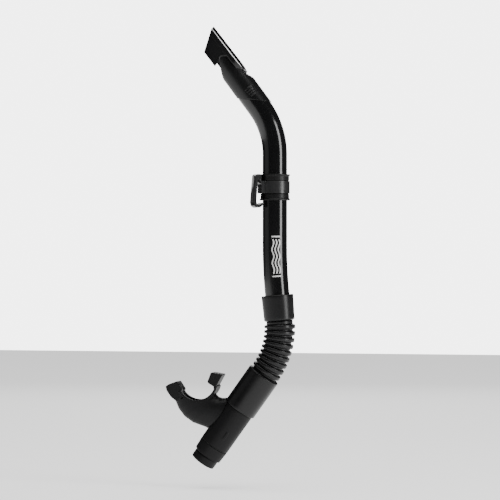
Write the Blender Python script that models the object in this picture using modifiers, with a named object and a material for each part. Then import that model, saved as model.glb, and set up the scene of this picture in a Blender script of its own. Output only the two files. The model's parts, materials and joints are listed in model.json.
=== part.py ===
"""Snorkel tube with a splash guard hood, a mask-strap keeper, a flexible hose and a purge valve.

The origin is on the barrel's axis, at the middle of the keeper. +Z runs up the barrel, the
snorkel bends in the XZ plane and its mouthpiece is towards -X. Sizes are in metres.
"""

import math

import bmesh
import bpy
from mathutils import Matrix, Vector

MM = 0.001
GAP = 0.3 * MM                      # clearance between touching pieces

# Centreline: straight runs and arcs, counted from the origin.
STRAIGHT_UP = 32.5 * MM             # origin to the start of the upper bend
UPPER_BEND_R = 80 * MM
UPPER_BEND = math.radians(36.5)
STRAIGHT_DOWN = 57.5 * MM           # origin to the start of the slight lower bow
BOW_R = 500 * MM
BOW = math.radians(5)
HOSE_TOP = 133.6 * MM               # distance down the centreline to the bellows
HOSE_BEND_R = 76 * MM
HOSE_BEND = math.radians(40.6)

# Barrel
BARREL_R = 12.2 * MM
BARREL_BORE_R = 10.7 * MM
SPIGOT_R = 11.3 * MM                # barrel's reduced end inside the hood's collar
BARREL_BOTTOM = 130.5 * MM
BARREL_TOP = 109.0 * MM            # distance up the centreline
STEP_LEFT = (-38.2 * MM, 89.2 * MM)     # the collar's slanted lower edge, as (x, z)
STEP_RIGHT = (-8.0 * MM, 85.5 * MM)

# Hood: a roof beside the tube's axis, with a flap that hangs in front of the mouth
HOOD_CORNER = Vector((-66.0 * MM, 0, 163.5 * MM))
HOOD_SLOPE = math.radians(52.0)     # of the roof, below the horizontal
HOOD_LENGTH = 59.6 * MM
HOOD_HALF_WIDTH = 13.6 * MM
HOOD_SKEW = 6.6 * MM                # how far the roof's end edge runs back on the near side
HOOD_SHEAR = 0.676                  # the end wall's lean, along the roof for each unit of depth
HOOD_DEPTH = 20.4 * MM
HOOD_WALL = 1.7 * MM
ROOF = 4.4 * MM
RECESS = 1.3 * MM
PLATE = 1.0 * MM
RIM = 1.1 * MM
COLLAR_R = 12.8 * MM
# Outlines in millimetres: the flap's sides as (along the roof, above it), the others as (x, z)
FLAP_SIDE = ((-8, 1), (-8, -20.4), (38.3, -20.4), (36.6, -13.7), (34.3, -11.0), (33.9, -9.4), (37.5, -4), (37.5, 1))
COLLAR_SIDE = (
    (-2.0, 84.8), (-46.0, 90.2), (-58.0, 104.0), (-52.0, 108.0), (-57.6, 150.5), (-54.3, 148.5),
    (-29.3, 116.5), (-31.0, 115.0), (-21.5, 109.6), (-2.0, 100.0),
)
HOLLOW_SIDE = ((-100, 175), (-100, 95), (-52.2, 95), (-52.0, 108.0), (-57.6, 150.5), (-60, 175))
PASSAGE_SIDE = ((-20.5, 106.0), (-34.5, 115.8), (-66.5, 156.8), (-100, 130), (-70, 80), (-20, 80))

# Keeper: a spool on the barrel, and a clip whose ring turns in the spool's channel
SPOOL_HALF = 13 * MM
SPOOL_FLANGE_R = 15.2 * MM
SPOOL_FLANGE = 1.6 * MM
SPOOL_BAND_R = 14.3 * MM
CHANNEL_R = 13.1 * MM
CHANNEL_HALF = 6.5 * MM
CLIP_R = 14.9 * MM
CLIP_HALF_WIDTH = 8.2 * MM
CLIP_TURN = math.radians(26)        # the clip's side of the barrel, from -X towards -Y
# The clip's outlines, in millimetres: out from the axis, and up
CLIP_BOSS = ((11.0, -6.0), (15.8, -6.0), (15.8, 3.0), (17.4, 5.8), (17.4, 6.2), (11.0, 6.2))
CLIP_SIDE = (
    (15.6, 5.0), (17.2, 5.0), (18.0, 8.2), (19.3, 8.0), (20.9, -14.0), (20.2, -16.6), (18.4, -18.0),
    (16.6, -17.6), (15.4, -15.4), (14.0, -16.0), (14.9, -18.6), (17.2, -20.3), (20.3, -20.4),
    (22.8, -18.6), (23.7, -15.2), (21.5, 11.4), (20.4, 13.0), (16.8, 13.0), (15.7, 11.8),
)

# Hose
CUFF_TOP = 107.5 * MM
CUFF_TOP_R = 15.95 * MM
CUFF_LOW_R = 15.3 * MM
HOSE_BORE_R = 11 * MM
RIBS = 9
RIB_PITCH = 5.85 * MM
FIRST_RIB = 139.0 * MM
RIB_TIP_R = 15.5 * MM
RIB_VALLEY_R = 13.0 * MM
HOSE_BOTTOM = 189.2 * MM
LOWER_CUFF_R = 16.7 * MM
LOWER_CUFF_END = 233.2 * MM

# Purge body and its valve, by distance down the centreline
BODY_R = 15.0 * MM
BODY_BORE_R = 11.4 * MM
BODY_SPIGOT_R = 13.2 * MM
BODY_SPIGOT_TOP = 200 * MM
BODY_BOTTOM = 278.0 * MM
RING_BOTTOM = 290.3 * MM
RING_LOW_R = 14.3 * MM
END_R = 12.7 * MM
END_BOTTOM = 299.0 * MM
SEAT_TOP = 281.0 * MM
SEAT = 2.2 * MM
SEAT_R = 11.4 * MM
FLAP_R = 9.6 * MM
FLAP = 1.2 * MM
FLAP_STEM_R = 1.3 * MM
GRILLE_TOP = 295.2 * MM
GRILLE = 2.0 * MM
GRILLE_SLOTS = 4
GRILLE_PITCH = 3.8 * MM
SEAT_PORTS = 6
SEAT_PORT_AT = 6.2 * MM
SEAT_PORT_R = 2.3 * MM
PORT_AT = 251 * MM                  # where the mouthpiece's spigot leaves the purge body
PORT_REACH = 24 * MM
PORT_HALF = (12.5 * MM, 8.4 * MM)   # half sizes along the body and across it
PORT_WALL = 1.8 * MM

# Mouthpiece: the neck's two edges in the XZ plane, in millimetres, from the mouth to the body,
# with the neck's half depth along Y
NECK = (
    ((-62.4, -201.0), (-101.9, -214.2), 9.8),
    ((-60.6, -206.5), (-98.6, -222.0), 10.2),
    ((-57.4, -209.8), (-92.4, -229.8), 10.6),
    ((-53.4, -210.8), (-83.7, -235.8), 10.8),
    ((-46.4, -210.0), (-70.6, -240.2), 10.8),
    ((-37.5, -214.0), (-61.0, -246.0), 10.8),
)
NECK_WALL = 2.0 * MM
LEFT_LIP = (7.0, 4.0, 2.0, 0, 0, 0)     # extra wall towards the left tab, in millimetres
SHIELD = 2.4 * MM                   # thickness of the band between the tabs
SHIELD_HALF = 9.0 * MM
SHIELD_FROM = math.radians(-14)     # angles about the teeth's arc, from +X towards +Z
SHIELD_TO = math.radians(-148)
MOUTH_ARC = Vector((-78.4 * MM, 0, -193.2 * MM))    # the teeth's hollow, an arc in the XZ plane
MOUTH_ARC_R = 19.6 * MM
TAB_HALF = 8.3 * MM
RIGHT_TAB = (
    (-63.8, -184.9), (-51.8, -186.9), (-60.6, -202.6), (-61.6, -205.0), (-66.0, -204.0),
    (-62.9, -198.2), (-67.7, -195.1),
)
LEFT_TAB = (
    (-98.7, -194.1), (-93.0, -202.8), (-94.6, -205.2), (-91.0, -208.5), (-99.5, -214.5),
    (-105.2, -210.0), (-109.4, -204.0), (-110.7, -199.5), (-107.5, -197.3),
)

# What the teeth's arc may take, so that the tabs stay whole, in millimetres
TAB_ROOM = ((-94.6, -205.2), (-93.4, -202.4), (-80, -180), (-66.0, -196.2), (-60.9, -199.2), (-60, -215), (-100, -216))

SEGMENTS = 32


# ---------------------------------------------------------------- scene helpers

def clear_scene():
    for thing in list(bpy.data.objects):
        bpy.data.objects.remove(thing, do_unlink=True)


def collection(name):
    group = bpy.data.collections.new(name)
    bpy.context.scene.collection.children.link(group)
    return group


def material(name, colour, roughness, metallic=0.0):
    skin = bpy.data.materials.new(name)
    skin.use_nodes = True
    shader = skin.node_tree.nodes["Principled BSDF"]
    shader.inputs["Base Color"].default_value = (*colour, 1)
    shader.inputs["Roughness"].default_value = roughness
    shader.inputs["Metallic"].default_value = metallic
    return skin


def new_object(name, mesh, group, skin=None):
    thing = bpy.data.objects.new(name, mesh)
    group.objects.link(thing)
    if skin:
        mesh.materials.clear()
        mesh.materials.append(skin)
    if group is CUTTERS:
        thing.hide_render = True
        thing.display_type = "WIRE"
    return thing


def bake(thing, weld=0.0):
    """A mesh of the object as its modifiers leave it; the object itself is removed."""
    bpy.context.view_layer.update()
    seen = thing.evaluated_get(bpy.context.evaluated_depsgraph_get())
    mesh = bpy.data.meshes.new_from_object(seen)
    mesh.transform(thing.matrix_world)
    bpy.data.objects.remove(thing, do_unlink=True)
    if weld:
        shape = bmesh.new()
        shape.from_mesh(mesh)
        bmesh.ops.remove_doubles(shape, verts=shape.verts, dist=weld)
        shape.to_mesh(mesh)
        shape.free()
    return mesh


def boolean(thing, other, operation):
    step = thing.modifiers.new(operation.lower(), "BOOLEAN")
    step.operation = operation
    step.solver = "EXACT"
    step.object = other


def cut(thing, *cutters):
    for cutter in cutters:
        boolean(thing, cutter, "DIFFERENCE")


def join(thing, *others):
    for other in others:
        boolean(thing, other, "UNION")


def finish(thing, smooth=30):
    """Shades a piece smooth away from its edges once its cuts and joins are made."""
    name, skin = thing.name, thing.data.materials[0]
    thing.name = name + "_rough"
    mesh = bake(thing)
    mesh.materials.clear()
    mesh.materials.append(skin)
    mesh.shade_smooth()
    mesh.set_sharp_from_angle(angle=math.radians(smooth))
    return new_object(name, mesh, PARTS)


def put_origin(thing, point):
    """Moves an object's origin to its joint's axis and leaves its shape where it is."""
    thing.data.transform(Matrix.Translation(-point))
    thing.location = point


# ---------------------------------------------------------------- the centreline

def follow(runs, distance, rise):
    """Walks straight runs and arcs and gives (x, z, lean); lean is towards -X."""
    x = z = lean = 0.0
    for length, turn in runs:
        step = min(distance, length)
        if turn:
            radius = length / turn
            share = step / radius
            x += radius * (math.cos(lean + share) - math.cos(lean))
            z += rise * radius * (math.sin(lean + share) - math.sin(lean))
            lean += share
        else:
            x -= math.sin(lean) * step
            z += rise * math.cos(lean) * step
        distance -= step
        if distance <= 0:
            break
    return x, z, lean


FAR = 1.0
UP_RUNS = ((STRAIGHT_UP, 0), (UPPER_BEND_R * UPPER_BEND, UPPER_BEND), (FAR, 0))
BOW_LENGTH = BOW_R * BOW
DOWN_RUNS = (
    (STRAIGHT_DOWN, 0),
    (BOW_LENGTH, -BOW),
    (HOSE_TOP - STRAIGHT_DOWN - BOW_LENGTH, 0),
    (HOSE_BEND_R * HOSE_BEND, HOSE_BEND),
    (FAR, 0),
)


def station(down):
    """The frame on the centreline: its point, its side towards +X, and its way up."""
    if down >= 0:
        x, z, lean = follow(DOWN_RUNS, down, -1)
        side = Vector((math.cos(lean), 0, -math.sin(lean)))
        up = Vector((math.sin(lean), 0, math.cos(lean)))
    else:
        x, z, lean = follow(UP_RUNS, -down, 1)
        side = Vector((math.cos(lean), 0, math.sin(lean)))
        up = Vector((-math.sin(lean), 0, math.cos(lean)))
    return Vector((x, 0, z)), side, up


def frame_at(down):
    """The same frame as a matrix: X to the side, Y across, Z up the centreline."""
    point, side, up = station(down)
    return Matrix((
        (side.x, 0, up.x, point.x),
        (0, 1, 0, 0),
        (side.z, 0, up.z, point.z),
        (0, 0, 0, 1),
    ))


def lay(mesh):
    """Bends a straight piece, modelled along Z, onto the centreline."""
    for vertex in mesh.vertices:
        point, side, _ = station(-vertex.co.z)
        vertex.co = point + side * vertex.co.x + Vector((0, vertex.co.y, 0))
    mesh.update()


# ---------------------------------------------------------------- shape helpers

def turned(name, profile, group, skin=None, segments=SEGMENTS, bend=True):
    """A turned piece from (radius, distance down) points, outer side first, top to bottom."""
    outline = bpy.data.meshes.new(name)
    count = len(profile)
    edges = [(i, (i + 1) % count) for i in range(count)]
    outline.from_pydata([(r, 0, -down) for r, down in profile], edges, [])
    thing = new_object(name + "_profile", outline, group)
    screw = thing.modifiers.new("turn", "SCREW")
    screw.steps = screw.render_steps = segments
    screw.use_merge_vertices = True
    screw.merge_threshold = 0.000001
    mesh = bake(thing, weld=0.000001)
    if bend:
        lay(mesh)
    return new_object(name, mesh, group, skin)


def levels(start, end, pitch):
    """Evenly spaced distances from start to end, no further apart than pitch."""
    count = max(1, math.ceil(abs(end - start) / pitch))
    return [start + (end - start) * i / count for i in range(count + 1)]


def tube(name, outer, bore, top, bottom, group, skin=None, pitch=5 * MM):
    """A tube of even wall along the centreline, with rings close enough for its bends."""
    rows = levels(top, bottom, pitch)
    profile = [(outer, row) for row in rows] + [(bore, row) for row in reversed(rows)]
    return turned(name, profile, group, skin)


def rod(name, radius, top, bottom, group=None, skin=None, pitch=5 * MM, segments=SEGMENTS):
    """A solid rod along the centreline."""
    rows = levels(top, bottom, pitch)
    profile = [(radius, row) for row in rows]
    outline = bpy.data.meshes.new(name)
    points = [(0, 0, -top)] + [(r, 0, -row) for r, row in profile] + [(0, 0, -bottom)]
    outline.from_pydata(points, [(i, i + 1) for i in range(len(points) - 1)], [])
    group = group or CUTTERS
    thing = new_object(name + "_profile", outline, group)
    screw = thing.modifiers.new("turn", "SCREW")
    screw.steps = screw.render_steps = segments
    screw.use_merge_vertices = True
    screw.merge_threshold = 0.000001
    mesh = bake(thing, weld=0.000001)
    lay(mesh)
    return new_object(name, mesh, group, skin)


def flat(name, outline, half, matrix, group, skin=None, bevel=0.0):
    """A plate from a closed outline in the frame's XY plane, half to each side of it."""
    curve = bpy.data.curves.new(name, "CURVE")
    curve.dimensions = "2D"
    curve.fill_mode = "BOTH"
    curve.extrude = half
    spline = curve.splines.new("POLY")
    spline.points.add(len(outline) - 1)
    for point, (x, y) in zip(spline.points, outline):
        point.co = (x, y, 0, 1)
    spline.use_cyclic_u = True
    thing = bpy.data.objects.new(name + "_outline", curve)
    group.objects.link(thing)
    mesh = bake(thing, weld=0.000001)
    mesh.transform(matrix)
    shape = bmesh.new()
    shape.from_mesh(mesh)
    bmesh.ops.dissolve_limit(
        shape, angle_limit=0.001, verts=shape.verts, edges=shape.edges, delimit={"NORMAL"}
    )
    if bevel:
        rims = [e for e in shape.edges if len(e.link_faces) == 2 and e.calc_face_angle(0) > 1.2]
        bmesh.ops.bevel(shape, geom=rims, offset=bevel, segments=2, affect="EDGES", profile=0.5)
    bmesh.ops.recalc_face_normals(shape, faces=shape.faces)
    shape.to_mesh(mesh)
    shape.free()
    return new_object(name, mesh, group, skin)


UPRIGHT = Matrix.Rotation(math.radians(90), 4, "X")     # XY outlines stand in the XZ plane


def upright(name, points, half, group, skin=None, frame=None, bevel=0.0):
    """A plate whose outline stands in the XZ plane of a frame; half its depth each way in Y."""
    matrix = (frame or Matrix.Identity(4)) @ UPRIGHT
    return flat(name, points, half, matrix, group, skin, bevel)


def in_mm(points):
    return [(x * MM, z * MM) for x, z in points]


def loft(name, rows, group, skin=None):
    """A closed skin over rings of equal count, with flat ends."""
    shape = bmesh.new()
    rings = [[shape.verts.new(point) for point in row] for row in rows]
    for first, second in zip(rings, rings[1:]):
        for i in range(len(first)):
            j = (i + 1) % len(first)
            shape.faces.new((first[i], first[j], second[j], second[i]))
    shape.faces.new(list(reversed(rings[0])))
    shape.faces.new(rings[-1])
    bmesh.ops.recalc_face_normals(shape, faces=shape.faces)
    mesh = bpy.data.meshes.new(name)
    shape.to_mesh(mesh)
    shape.free()
    return new_object(name, mesh, group, skin)


def oval(right, left, depth, count=28, power=2.3):
    """A rounded ring between two edges in the XZ plane."""
    centre, arm = (right + left) / 2, (right - left) / 2
    ring = []
    for i in range(count):
        angle = 2 * math.pi * i / count
        c, s = math.cos(angle), math.sin(angle)
        along = math.copysign(abs(c) ** (2 / power), c)
        across = math.copysign(abs(s) ** (2 / power), s)
        ring.append(centre + arm * along + Vector((0, depth * across, 0)))
    return ring


# ---------------------------------------------------------------- barrel and hood

def make_barrel():
    barrel = tube("barrel", BARREL_R, BARREL_BORE_R, -BARREL_TOP, BARREL_BOTTOM, PARTS, SKINS["gloss"])
    neck = tube("barrel_neck", BARREL_R + 3 * MM, SPIGOT_R, -BARREL_TOP - 2 * MM, -50 * MM, CUTTERS)
    slope = (STEP_RIGHT[1] - STEP_LEFT[1]) / (STEP_RIGHT[0] - STEP_LEFT[0])
    ends = [(x, STEP_LEFT[1] + (x - STEP_LEFT[0]) * slope - GAP) for x in (-80 * MM, 20 * MM)]
    above = upright("above_step", ends + [(20 * MM, 0.15), (-80 * MM, 0.15)], 0.03, CUTTERS)
    boolean(neck, above, "INTERSECT")
    cut(barrel, neck)
    finish(barrel)


def hood_frame():
    """X down the roof's slope, Y across it, Z out of it."""
    return Matrix.Translation(HOOD_CORNER) @ Matrix.Rotation(HOOD_SLOPE, 4, "Y")


def roof_outline(inset=0.0, samples=10):
    """The roof seen square on: a skewed straight end and a round lower end."""
    half = HOOD_HALF_WIDTH - inset
    middle = HOOD_LENGTH - HOOD_HALF_WIDTH
    points = [(inset, half), (HOOD_SKEW + inset, -half)]
    for i in range(samples + 1):
        angle = -math.pi / 2 + math.pi * i / samples
        points.append((middle + half * math.cos(angle), half * math.sin(angle)))
    return points


def roof_slab(name, inset, top, bottom, group, skin=None):
    """A slab of the roof's outline between two heights above the roof's face."""
    lift = Matrix.Translation((0, 0, (top + bottom) / 2))
    return flat(name, roof_outline(inset), (top - bottom) / 2, hood_frame() @ lift, group, skin)


def leaning_block(name, outline, top, bottom, group):
    """A block of an outline in the roof's plane that leans with the hood's end wall."""
    lean = Matrix.Identity(4)
    lean[0][2] = -HOOD_SHEAR
    lift = Matrix.Translation((0, 0, (top + bottom) / 2))
    return flat(name, outline, (top - bottom) / 2, hood_frame() @ lean @ lift, group)


def end_edge(across, inset=0.0):
    """Where the skewed end edge lies along the roof, at a distance across it."""
    return HOOD_SKEW * (0.5 - across / (2 * HOOD_HALF_WIDTH)) + inset


def make_hood():
    frame = hood_frame()
    hood = roof_slab("splash_hood", 0, 0, -ROOF, PARTS, SKINS["hood"])
    side = HOOD_HALF_WIDTH - 0.1 * MM
    box = [(-6 * MM, side), (-6 * MM, -side), (36 * MM, -side), (36 * MM, side)]
    flap = leaning_block("flap", box, -0.5 * MM, -HOOD_DEPTH - 3 * MM, CUTTERS)
    boolean(flap, upright("flap_side", in_mm(FLAP_SIDE), 0.03, CUTTERS, frame=frame), "INTERSECT")
    collar = rod("collar", COLLAR_R, -160 * MM, -60 * MM)
    boolean(collar, upright("collar_side", in_mm(COLLAR_SIDE), 0.03, CUTTERS), "INTERSECT")
    join(hood, flap, collar)

    wide = 20 * MM
    beyond = [(-0.04, wide), (-0.04, -wide), (end_edge(-wide), -wide), (end_edge(wide), wide)]
    cut(hood, leaning_block("hood_end", beyond, 5 * MM, -0.04, CUTTERS))

    side = HOOD_HALF_WIDTH - HOOD_WALL
    near, far = end_edge(-side, HOOD_WALL), end_edge(side, HOOD_WALL)
    inside = [(far, side), (near, -side), (0.06, -side), (0.06, side)]
    hollow = leaning_block("hood_hollow", inside, -ROOF + 0.2 * MM, -0.06, CUTTERS)
    boolean(hollow, upright("hollow_side", in_mm(HOLLOW_SIDE), 0.03, CUTTERS), "INTERSECT")
    passage = rod("hood_passage", BARREL_BORE_R, -170 * MM, -BARREL_TOP + 2 * MM)
    boolean(passage, upright("passage_side", in_mm(PASSAGE_SIDE), 0.03, CUTTERS), "INTERSECT")
    socket = rod("hood_socket", SPIGOT_R + GAP, -BARREL_TOP - GAP, -50 * MM)
    recess = roof_slab("hood_recess", RIM, 3 * MM, -RECESS - PLATE - GAP, CUTTERS)
    cut(hood, hollow, passage, socket, recess)
    finish(hood)
    plate = roof_slab("hood_plate", RIM + GAP, -RECESS, -RECESS - PLATE, PARTS, SKINS["plate"])
    finish(plate)


# ---------------------------------------------------------------- keeper

def make_keeper():
    lip = SPOOL_HALF - SPOOL_FLANGE
    half = [
        (SPOOL_FLANGE_R, SPOOL_HALF), (SPOOL_FLANGE_R, lip), (SPOOL_BAND_R, lip - 0.3 * MM),
        (SPOOL_BAND_R, CHANNEL_HALF + 0.4 * MM), (SPOOL_BAND_R - 0.4 * MM, CHANNEL_HALF),
        (CHANNEL_R, CHANNEL_HALF),
    ]
    bore = BARREL_R + GAP
    profile = [(r, -z) for r, z in half] + [(r, z) for r, z in reversed(half)]
    profile += [(bore, SPOOL_HALF), (bore, -SPOOL_HALF)]
    finish(turned("keeper_sleeve", profile, PARTS, SKINS["keeper"]))

    ring_bore = CHANNEL_R + GAP
    ring_half = CHANNEL_HALF - GAP
    ring = [(CLIP_R, -ring_half), (CLIP_R, ring_half), (ring_bore, ring_half), (ring_bore, -ring_half)]
    clip = turned("keeper_clip", ring, PARTS, SKINS["clip"])
    outward = Matrix.Rotation(math.pi + CLIP_TURN, 4, "Z")
    hook = upright("clip_hook", in_mm(CLIP_SIDE), CLIP_HALF_WIDTH, CUTTERS, frame=outward)
    boss = upright("clip_boss", in_mm(CLIP_BOSS), CLIP_HALF_WIDTH, CUTTERS, frame=outward)
    boolean(hook, boss, "UNION")
    boolean(hook, rod("clip_bore", ring_bore, -ring_half - MM, ring_half + MM), "DIFFERENCE")
    join(clip, hook)
    finish(clip)


# ---------------------------------------------------------------- flexible hose

def make_hose():
    socket = BARREL_R + GAP
    cuff_end = HOSE_TOP - GAP / 2
    profile = [
        (CUFF_TOP_R - 0.6 * MM, CUFF_TOP), (CUFF_TOP_R, CUFF_TOP + 0.6 * MM),
        (CUFF_LOW_R, cuff_end - 1.2 * MM), (CUFF_LOW_R - 1.2 * MM, cuff_end),
        (HOSE_BORE_R, cuff_end), (HOSE_BORE_R, BARREL_BOTTOM + GAP),
        (socket, BARREL_BOTTOM + GAP), (socket, CUFF_TOP),
    ]
    finish(turned("hose_upper_cuff", profile, PARTS, SKINS["hose"]))

    top, bottom = HOSE_TOP + GAP / 2, HOSE_BOTTOM - GAP / 2
    outer = [(RIB_VALLEY_R, top)]
    for i in range(RIBS):
        rib = FIRST_RIB + i * RIB_PITCH
        outer += [(RIB_VALLEY_R, rib - 2.2 * MM), (RIB_TIP_R, rib - 0.9 * MM)]
        outer += [(RIB_TIP_R, rib + 0.9 * MM), (RIB_VALLEY_R, rib + 2.2 * MM)]
    outer.append((RIB_VALLEY_R, bottom))
    inner = [(HOSE_BORE_R, row) for row in reversed(levels(top, bottom, RIB_PITCH))]
    finish(turned("hose_bellows", outer + inner, PARTS, SKINS["hose"], segments=28))

    top, end = HOSE_BOTTOM + GAP / 2, LOWER_CUFF_END - GAP / 2
    sock = BODY_SPIGOT_R + GAP
    profile = [
        (LOWER_CUFF_R - 1.0 * MM, top), (LOWER_CUFF_R, top + 1.2 * MM),
        (LOWER_CUFF_R, end - 1.0 * MM), (LOWER_CUFF_R - 1.0 * MM, end),
        (sock, end), (sock, BODY_SPIGOT_TOP - GAP),
        (HOSE_BORE_R, BODY_SPIGOT_TOP - GAP), (HOSE_BORE_R, top),
    ]
    finish(turned("hose_lower_cuff", profile, PARTS, SKINS["hose"]))


# ---------------------------------------------------------------- purge body and valve

def port_rod(name, grow, start, reach, group=None, skin=None):
    """An oval rod out of the purge body's side, towards the mouthpiece."""
    point, side, up = station(PORT_AT)
    rows = []
    for out in (start, reach):
        centre = point - side * out
        half = PORT_HALF[0] + grow
        rows.append(oval(centre + up * half, centre - up * half, PORT_HALF[1] + grow))
    return loft(name, rows, group or CUTTERS, skin)


def make_purge():
    shoulder = LOWER_CUFF_END + GAP / 2
    profile = [
        (BODY_SPIGOT_R, BODY_SPIGOT_TOP), (BODY_SPIGOT_R, shoulder),
        (BODY_R, shoulder), (BODY_R, BODY_BOTTOM - 0.5 * MM), (BODY_R - 0.5 * MM, BODY_BOTTOM - GAP / 2),
        (BODY_BORE_R, BODY_BOTTOM - GAP / 2), (BODY_BORE_R, BODY_SPIGOT_TOP),
    ]
    body = turned("purge_body", profile, PARTS, SKINS["purge"])
    join(body, port_rod("port_wall", 0, BODY_BORE_R + MM, PORT_REACH))
    cut(body, port_rod("port_bore", -PORT_WALL, 0, PORT_REACH + MM))
    finish(body)

    seat_bottom = SEAT_TOP + SEAT
    ring_bore = SEAT_R + GAP
    top = BODY_BOTTOM + GAP / 2
    profile = [
        (BODY_R - 0.5 * MM, top), (BODY_R, top + 0.6 * MM), (RING_LOW_R, RING_BOTTOM - 0.6 * MM),
        (RING_LOW_R - 0.6 * MM, RING_BOTTOM - GAP / 2),
        (ring_bore, RING_BOTTOM - GAP / 2), (ring_bore, seat_bottom + GAP),
        (ring_bore, top),
    ]
    finish(turned("purge_ring", profile, PARTS, SKINS["purge"]))

    top = RING_BOTTOM + GAP / 2
    profile = [
        (END_R - 0.4 * MM, top), (END_R, top + 1.5 * MM), (END_R, END_BOTTOM - 1.0 * MM),
        (END_R - 1.0 * MM, END_BOTTOM), (END_R - 2.0 * MM, END_BOTTOM), (END_R - 2.0 * MM, top),
    ]
    finish(turned("purge_end_collar", profile, PARTS, SKINS["purge"]))

    seat = rod("purge_valve_seat", SEAT_R, SEAT_TOP, seat_bottom, PARTS, SKINS["valve_seat"])
    cut(seat, hole("seat_hole", SEAT_TOP, seat_bottom, 0, 0, FLAP_STEM_R + GAP))
    for i in range(SEAT_PORTS):
        angle = 2 * math.pi * i / SEAT_PORTS
        cut(seat, hole(f"seat_port_{i + 1}", SEAT_TOP, seat_bottom, SEAT_PORT_AT, angle, SEAT_PORT_R))
    finish(seat)

    face = seat_bottom + GAP
    flap = turned("purge_valve_flap", [
        (FLAP_R, face), (FLAP_R, face + 0.5 * MM), (FLAP_STEM_R, face + FLAP),
        (0, face + FLAP), (0, SEAT_TOP - 2.4 * MM), (FLAP_STEM_R, SEAT_TOP - 2.4 * MM), (FLAP_STEM_R, face),
    ], PARTS, SKINS["silicone"], segments=24)
    finish(flap)

    grille = rod("purge_grille", END_R - 2.0 * MM - GAP, GRILLE_TOP, GRILLE_TOP + GRILLE, PARTS, SKINS["purge"])
    for i in range(GRILLE_SLOTS):
        offset = (i - (GRILLE_SLOTS - 1) / 2) * GRILLE_PITCH
        length = math.sqrt((END_R - 4.0 * MM) ** 2 - offset ** 2)
        outline = [(-length, -1.1 * MM), (length, -1.1 * MM), (length, 1.1 * MM), (-length, 1.1 * MM)]
        place = frame_at(GRILLE_TOP + GRILLE / 2) @ Matrix.Translation((0, offset, 0))
        cut(grille, flat(f"grille_slot_{i + 1}", outline, GRILLE, place, CUTTERS))
    finish(grille)


def hole(name, top, bottom, out, angle, radius):
    """A round cutter through a disc of the valve."""
    half = (bottom - top) / 2 + MM
    centre = Matrix.Translation((out * math.cos(angle), out * math.sin(angle), 0))
    bpy.ops.mesh.primitive_cylinder_add(vertices=16, radius=radius, depth=2 * half)
    made = bpy.context.object
    mesh = made.data.copy()
    bpy.data.objects.remove(made, do_unlink=True)
    mesh.transform(frame_at((top + bottom) / 2) @ centre)
    return new_object(name, mesh, CUTTERS)


# ---------------------------------------------------------------- mouthpiece

def xz(point):
    return Vector((point[0] * MM, 0, point[1] * MM))


def neck_rows(inset=0.0, ends=0.0):
    """The neck's rings; an inset makes its hollow, which runs past both ends."""
    rows = []
    for (right, left, depth), lip in zip(NECK, LEFT_LIP):
        right, left = xz(right), xz(left)
        arm = (right - left).normalized()
        lip = lip * MM if inset else 0
        rows.append(oval(right - arm * inset, left + arm * (inset + lip), depth * MM - inset))
    if ends:
        first = sum(rows[0], Vector()) / len(rows[0])
        second = sum(rows[1], Vector()) / len(rows[1])
        way = (first - second).normalized() * ends
        rows.insert(0, [point + way for point in rows[0]])
    return rows


def shield_outline(samples=14):
    """The band that joins the tabs, along the outside of the teeth's arc."""
    sweep = [SHIELD_FROM + (SHIELD_TO - SHIELD_FROM) * i / samples for i in range(samples + 1)]
    inner, outer = MOUTH_ARC_R - MM, MOUTH_ARC_R + SHIELD
    points = [(inner, angle) for angle in sweep] + [(outer, angle) for angle in reversed(sweep)]
    return [(MOUTH_ARC.x + r * math.cos(a), MOUTH_ARC.z + r * math.sin(a)) for r, a in points]


def make_mouthpiece():
    mouth = loft("mouthpiece", neck_rows(), PARTS, SKINS["silicone"])
    join(mouth, upright("shield", shield_outline(), SHIELD_HALF, CUTTERS))
    for name, outline in (("right_tab", RIGHT_TAB), ("left_tab", LEFT_TAB)):
        join(mouth, upright(name, in_mm(outline), TAB_HALF, CUTTERS, bevel=0.6 * MM))
    arc = bpy.data.meshes.new("mouth_arc")
    shape = bmesh.new()
    bmesh.ops.create_cone(
        shape, cap_ends=True, segments=48, radius1=MOUTH_ARC_R, radius2=MOUTH_ARC_R, depth=0.05
    )
    shape.to_mesh(arc)
    shape.free()
    arc.transform(Matrix.Translation(MOUTH_ARC) @ UPRIGHT)
    teeth = new_object("mouth_arc", arc, CUTTERS)
    keep_tabs = upright("tab_room", in_mm(TAB_ROOM), 0.03, CUTTERS)
    boolean(teeth, keep_tabs, "INTERSECT")
    cut(mouth, teeth)
    cut(mouth, rod("body_room", BODY_R + GAP, LOWER_CUFF_END - 25 * MM, BODY_BOTTOM + 10 * MM))
    cut(mouth, rod("cuff_room", LOWER_CUFF_R + GAP, HOSE_BOTTOM - 5 * MM, LOWER_CUFF_END + GAP))
    cut(mouth, loft("neck_hollow", neck_rows(NECK_WALL, 20 * MM), CUTTERS))
    cut(mouth, port_rod("port_room", GAP, 0, PORT_REACH + GAP))
    finish(mouth)


# ---------------------------------------------------------------- build

clear_scene()
PARTS = collection("snorkel_tube")
CUTTERS = collection("cutters")
SKINS = {
    "gloss": material("gloss_pvc", (0.012, 0.012, 0.013), 0.16),
    "hood": material("hood_plastic", (0.014, 0.014, 0.015), 0.28),
    "plate": material("hood_plate_plastic", (0.02, 0.02, 0.021), 0.12),
    "keeper": material("keeper_plastic", (0.015, 0.015, 0.016), 0.38),
    "clip": material("clip_plastic", (0.016, 0.016, 0.017), 0.34),
    "hose": material("hose_silicone", (0.014, 0.014, 0.015), 0.4),
    "purge": material("purge_plastic", (0.018, 0.018, 0.019), 0.5),
    "silicone": material("mouth_silicone", (0.016, 0.016, 0.017), 0.55),
    "valve_seat": material("seat_plastic", (0.02, 0.02, 0.021), 0.45),
}
make_barrel()
make_hood()
make_keeper()
make_hose()
make_purge()
make_mouthpiece()
for cutter in list(CUTTERS.objects):
    cutter.hide_render = True
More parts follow.
